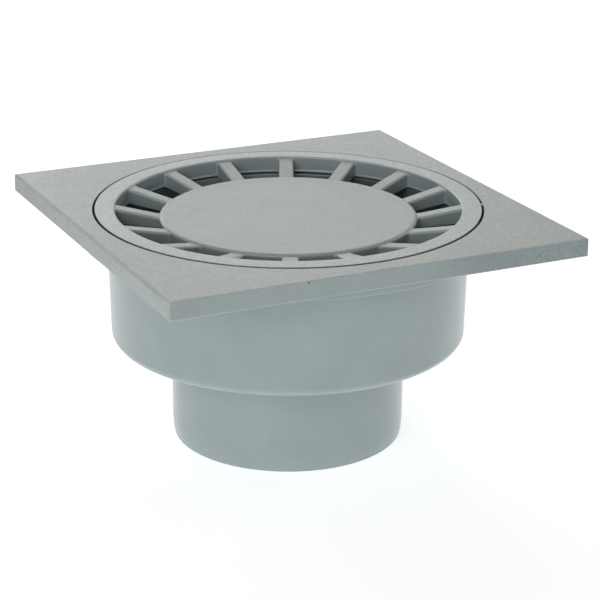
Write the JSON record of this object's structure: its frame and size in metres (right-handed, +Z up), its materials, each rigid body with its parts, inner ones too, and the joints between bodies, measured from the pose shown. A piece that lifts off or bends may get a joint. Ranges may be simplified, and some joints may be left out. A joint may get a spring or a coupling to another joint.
{
  "type": "gully trap",
  "caption": "Square floor gully trap with a round dished grate, a bell trap in a round bowl and a plain pipe spigot below.",
  "frame": {"origin": "centre of the spigot's open end, on which the part stands", "axes": "+Z up along the spigot and the bowl, +X and +Y square to the plate's sides"},
  "size_m": [0.2006, 0.2006, 0.1115],
  "materials": {
    "body_pvc": "moulded grey PVC, satin side walls and a fine grained top",
    "grate_pvc": "moulded grey PVC, fine grained top",
    "bell_pvc": "moulded grey PVC, smooth"
  },
  "bodies": {
    "root": {"body": "body_pvc", "grate": "grate_pvc", "bell": "bell_pvc"}
  },
  "joints": []
}
